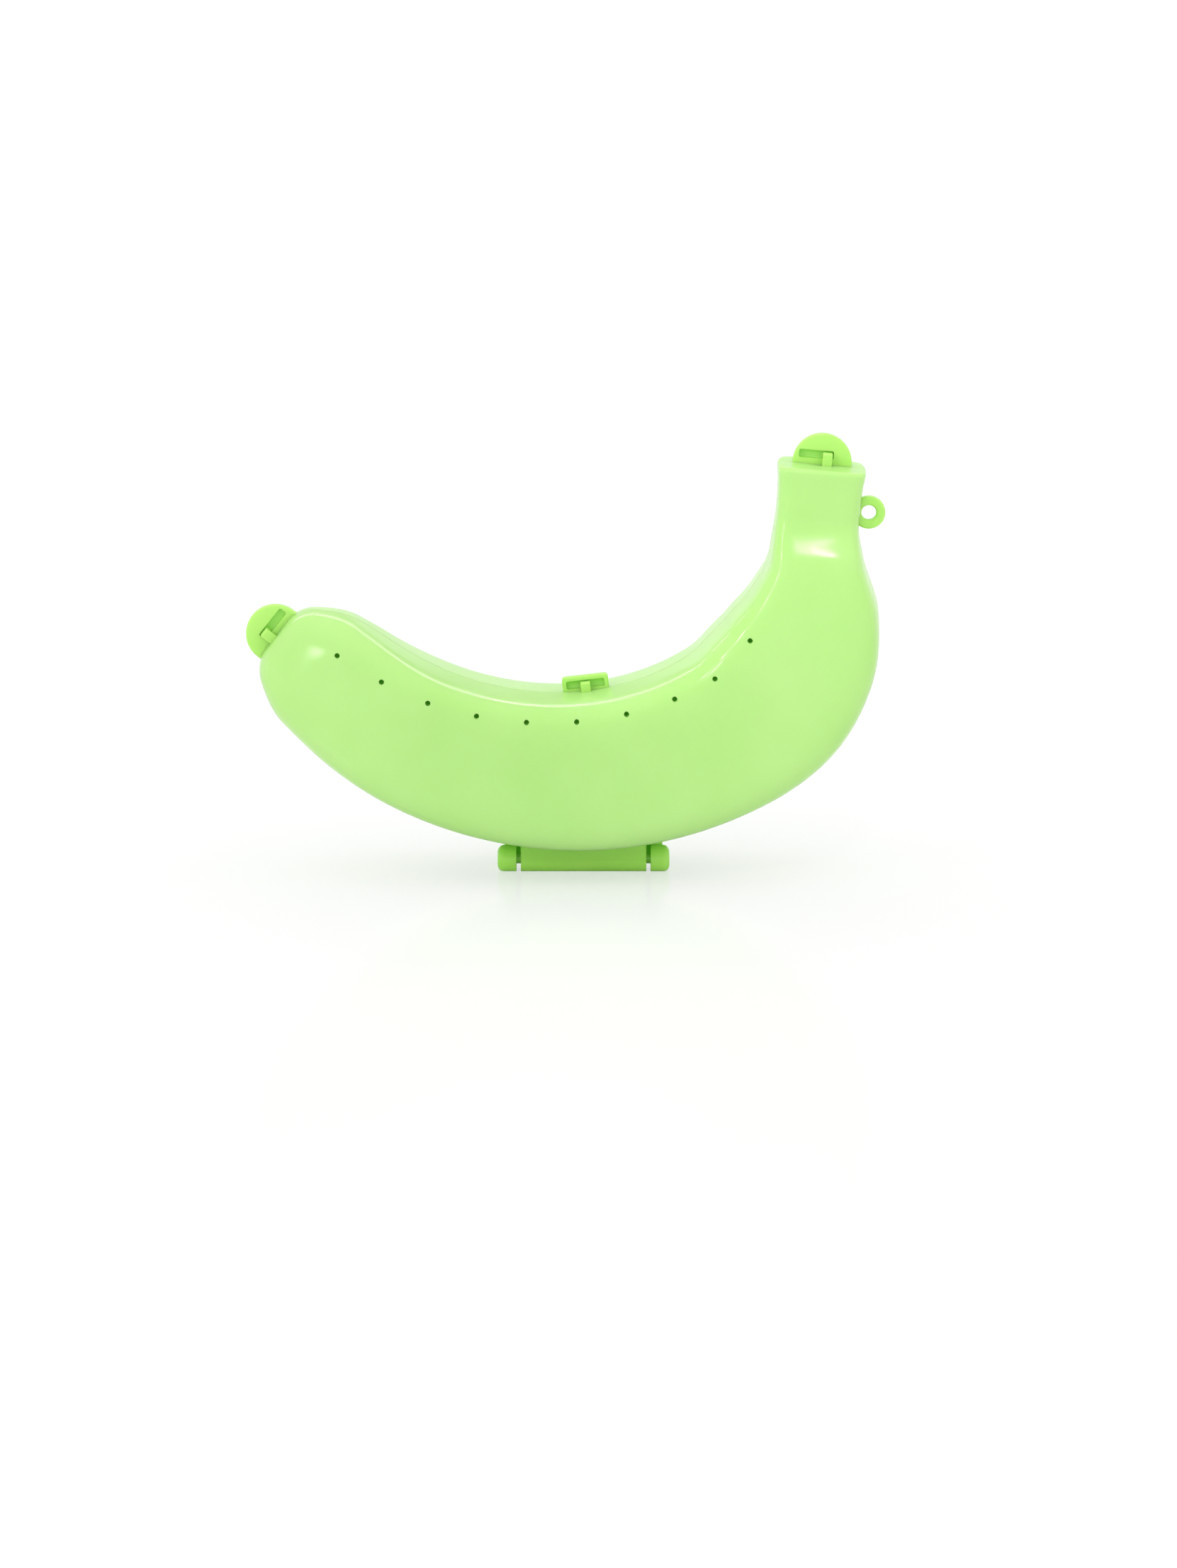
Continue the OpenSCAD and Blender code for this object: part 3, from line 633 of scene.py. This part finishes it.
# A plate's outline runs outwards along X and across the face, and its thickness lies front to back
upright = Matrix.Rotation(math.pi / 2, 4, "X")
stem_face = on_spine(spine_length, 0.0)
tip_face = on_spine(0.0, 0.0, math.pi)
tab_middle = Matrix.Translation((0.0, (parting + face_inset / 2 + tab_thickness / 2) * mm, 0.0))
# The inner curve lies towards +Z of the stem's face and towards -Z of the tip's
for name, node, face, side in (
    ("stem_tab", "stem_finger_tab", stem_face, 1.0),
    ("tip_tab", "tip_finger_tab", tip_face, -1.0),
):
    tab = plate(name, tab_outline, tab_thickness - face_inset, tab_rounding,
                face @ tab_middle @ upright, thin_lime)
    cut_pocket(tab, pocket_rise, pocket_rise + pocket_height,
               side * pocket_shift - pocket_width / 2, side * pocket_shift + pocket_width / 2,
               face @ upright, thin_lime)
    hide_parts(node)
    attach(tab, "rear_half")

# The keeper on the inner curve
# A low strap with a pocket stands on the rear half's rim at the middle of the inner curve, moulded
# with it. The third catch snaps into it.
keeper_pocket_width, keeper_pocket_rise, keeper_strap, keeper_sunk = 11.7, 0.7, 1.2, 1.1
keeper_corner, keeper_rounding, latch_past_belly = 1.0, 0.4, 7.0
keeper_half = keeper_pocket_width / 2 + keeper_strap
keeper_top = keeper_pocket_rise + pocket_height + keeper_strap
latch_s = belly_at + latch_past_belly
edge_bend = 1 - bend_at(latch_s) * through_stations(latch_s, 1)
edge_rise = (through_stations(latch_s + keeper_pocket_width / 2, 1)
             - through_stations(latch_s - keeper_pocket_width / 2, 1))
edge_slope = math.atan2(edge_rise, edge_bend * keeper_pocket_width)
inner_edge = on_spine(latch_s, through_stations(latch_s, 1), edge_slope + math.pi / 2)
keeper_outline = rounded_box(-keeper_sunk, keeper_top, -keeper_half, keeper_half, keeper_corner)
keeper = plate("inner_keeper", keeper_outline, tab_thickness - face_inset, keeper_rounding,
               inner_edge @ tab_middle @ upright, thin_lime)
cut_pocket(keeper, keeper_pocket_rise, keeper_pocket_rise + pocket_height,
           -keeper_pocket_width / 2, keeper_pocket_width / 2, inner_edge @ upright, thin_lime)
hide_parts("latch_keeper")
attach(keeper, "rear_half")

# The catches
# Three hooked nubs moulded on the front half, one at each end face and one on the inner curve. Each
# stands on a short post and reaches back into the pocket of its tab or keeper.
catch_width, catch_shift, catch_post, catch_rounding = 3.0, 1.4, 2.0, 0.3
catch_clearance, catch_sunk, catch_shoulder = 0.4, 0.4, 0.8
arm_thickness = pocket_height - 2 * catch_clearance
arm_end = parting + pocket_depth - catch_clearance


def catch_outline(rise, sunk):
    """Side outline of a catch: X runs outwards from its seat and Y towards the rear half."""
    near, far = rise + catch_clearance, rise + catch_clearance + arm_thickness
    front, back = -parting - catch_post, -parting - face_inset
    middle = (near + far) / 2
    nose = [
        (middle + arm_thickness / 2 * math.cos(math.radians(a)),
         arm_end - arm_thickness / 2 + arm_thickness / 2 * math.sin(math.radians(a)))
        for a in range(0, 181, 15)
    ]
    shoulder = [
        (far - catch_shoulder + catch_shoulder * math.cos(math.radians(a)),
         front + catch_shoulder + catch_shoulder * math.sin(math.radians(a)))
        for a in range(-90, 1, 15)
    ]
    return [(-sunk, front)] + shoulder + nose + [(near, back), (-sunk, back)]


for name, node, seat, shift, rise, sunk in (
    ("stem_nub", "stem_catch", stem_face, -catch_shift, pocket_rise, catch_sunk),
    ("tip_nub", "tip_catch", tip_face, catch_shift, pocket_rise, catch_sunk),
    ("inner_nub", "inner_catch", inner_edge, 0.0, keeper_pocket_rise, keeper_sunk),
):
    nub = plate(name, catch_outline(rise, sunk), catch_width, catch_rounding,
                seat @ Matrix.Translation((0.0, 0.0, shift * mm)), thin_lime)
    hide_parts(node)
    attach(nub, "front_half")

# The key loop
# A ring moulded on the outer side of the rear half's stem, for a key ring or a clip. Its edges are
# rounded, and its root runs into the stem's wall.
loop_radius, loop_hole_radius, loop_thickness, loop_rounding = 5.0, 2.25, 3.0, 0.7
loop_from_top, loop_root, loop_sunk, loop_sides = 13.6, 0.6, 0.9, 96
loop_s = spine_length - loop_from_top
loop_u = -(through_stations(loop_s, 1) + loop_root + loop_hole_radius)
loop_place = on_spine(loop_s, loop_u)
ring_outline = rounded_box(parting, parting + loop_thickness, loop_hole_radius, loop_radius, loop_rounding)
loop = turned("clip_loop", [(x * mm, r * mm) for x, r in ring_outline],
              loop_place @ Matrix.Rotation(math.pi / 2, 4, "Z"), loop_sides, ring=True)
# What would stand inside the stem is cut off within its wall
cut_from = loop_root + loop_hole_radius + loop_sunk
cutter_size = 20.0
cutter_mesh = bpy.data.meshes.new("cutter")
cutter_shape = bmesh.new()
cutter_place = loop_place @ Matrix.Translation((0.0, 0.0, (cut_from + cutter_size / 2) * mm))
bmesh.ops.create_cube(cutter_shape, size=cutter_size * mm, matrix=cutter_place)
cutter_shape.to_mesh(cutter_mesh)
cutter_shape.free()
combine(loop, new_piece("cutter", cutter_mesh), "DIFFERENCE")
loop.data.materials.clear()
loop.data.materials.append(thin_lime)
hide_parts("key_loop")
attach(loop, "rear_half")

# The floor
# A sheet of milky glossy acrylic, which keeps the case's shadow and a faint mirror image of the hinge.
# The camera sees through it a little, so that the front half still shows where it swings below it.
floor_size, floor_drop, seen_through = 6.0, 0.05, 0.55
floor_mesh = bpy.data.meshes.new("floor")
floor_shape = bmesh.new()
floor_place = Matrix.Translation((0.0, 0.0, -floor_drop * mm))
bmesh.ops.create_grid(floor_shape, size=floor_size / 2, matrix=floor_place)
floor_shape.to_mesh(floor_mesh)
floor_shape.free()
floor = new_piece("floor", floor_mesh)
acrylic = bpy.data.materials.new("milky acrylic sheet")
tree = new_tree(acrylic)
sheet = add(tree, "ShaderNodeBsdfPrincipled",
            {"Base Color": linear("#ECECEC"), "Roughness": 0.13, "IOR": 1.6})
clear = add(tree, "ShaderNodeBsdfTransparent", {"Color": linear("#FFFFFF")})
path = add(tree, "ShaderNodeLightPath").outputs
share = add(tree, "ShaderNodeMath", (path["Is Camera Ray"], seen_through), operation="MULTIPLY")
milky = add(tree, "ShaderNodeMixShader", (share, sheet, clear))
add(tree, "ShaderNodeOutputMaterial", {"Surface": milky})
floor_mesh.materials.append(acrylic)

# The light
# A white room under a dimmer ceiling. Its low walls give the upper edges their pale band, a thin strip
# behind gives the streak along the shoulder, and small lamps in front light the stem, neck and tip.
room_level, wall_level, ceiling_level = 1.36, 1.0, 0.35
wall_end, ceiling_from = 0.19, 0.27
spot_cone, spot_softness = 5.0, 0.5
world = bpy.data.worlds.new("white studio")
bpy.context.scene.world = world
tree = new_tree(world)
path = add(tree, "ShaderNodeLightPath").outputs
seen = add(tree, "ShaderNodeMath", (path["Is Camera Ray"], path["Is Glossy Ray"]), operation="MAXIMUM")
seen = add(tree, "ShaderNodeMath", (seen, path["Is Transmission Ray"]), operation="MAXIMUM")
# The white walls end a little above the horizon
way = add(tree, "ShaderNodeTexCoord").outputs["Generated"]
height = add(tree, "ShaderNodeSeparateXYZ", (way,)).outputs["Z"]
level = add(tree, "ShaderNodeMapRange", {
    "Value": height, "From Min": wall_end, "From Max": ceiling_from,
    "To Min": wall_level, "To Max": ceiling_level,
})
room = add(tree, "ShaderNodeBackground", {"Color": linear("#FFFFFF"), "Strength": room_level})
walls = add(tree, "ShaderNodeBackground", {"Color": linear("#FFFFFF"), "Strength": level})
studio = add(tree, "ShaderNodeMixShader", (seen, room, walls))
add(tree, "ShaderNodeOutputWorld", {"Surface": studio})
# Name, kind, place it is aimed at in mm, azimuth, elevation, distance, size in metres and power
for name, kind, target, azimuth, elevation, distance, size, power in (
    ("strip behind", "AREA", (0.0, 0.0, 60.0), 180.0, 29.0, 1.2, (1.8, 0.08), 2.4),
    ("stem spot", "SPOT", (68.0, -14.0, 104.0), 1.5, 49.0, 1.6, 0.035, 9.0),
    ("tip softbox", "AREA", (-81.0, -16.0, 72.0), -43.0, 25.0, 1.6, (0.26, 0.26), 2.6),
    ("neck spot", "SPOT", (54.0, -20.0, 86.0), -57.0, 34.6, 1.6, 0.03, 5.5),
):
    lamp = bpy.data.lights.new(name, kind)
    lamp.energy = power
    if kind == "AREA":
        lamp.shape = "RECTANGLE"
        lamp.size, lamp.size_y = size
    else:
        lamp.shadow_soft_size = size
        lamp.spot_size, lamp.spot_blend = math.radians(spot_cone), spot_softness
    holder = bpy.data.objects.new(name, lamp)
    bpy.context.scene.collection.objects.link(holder)
    turn, tilt = math.radians(azimuth), math.radians(elevation)
    way = Vector((math.sin(turn) * math.cos(tilt), -math.cos(turn) * math.cos(tilt), math.sin(tilt)))
    holder.location = Vector(target) * mm + way * distance
    holder.rotation_euler = way.to_track_quat("Z", "Y").to_euler()
    holder.visible_camera = False

# The camera
# It stands straight in front, a little above the case, with a long lens, and is aimed at the point of
# the parting plane that lies in the middle of the picture.
pixels_wide, pixels_per_mm, camera_tilt, camera_distance = 1661, 4.62, 13.0, 2.5
aim = Vector((1.515, 0.0, 26.88)) * mm
lens = bpy.data.cameras.new("front camera")
lens.sensor_fit = "HORIZONTAL"
lens.lens = lens.sensor_width * camera_distance / (pixels_wide / pixels_per_mm * mm)
camera = bpy.data.objects.new("front camera", lens)
bpy.context.scene.collection.objects.link(camera)
tilt = math.radians(camera_tilt)
way = Vector((0.0, -math.cos(tilt), math.sin(tilt)))
camera.location = aim + way * camera_distance
camera.rotation_euler = way.to_track_quat("Z", "Y").to_euler()
bpy.context.scene.camera = camera
bpy.context.scene.view_settings.view_transform = "Standard"
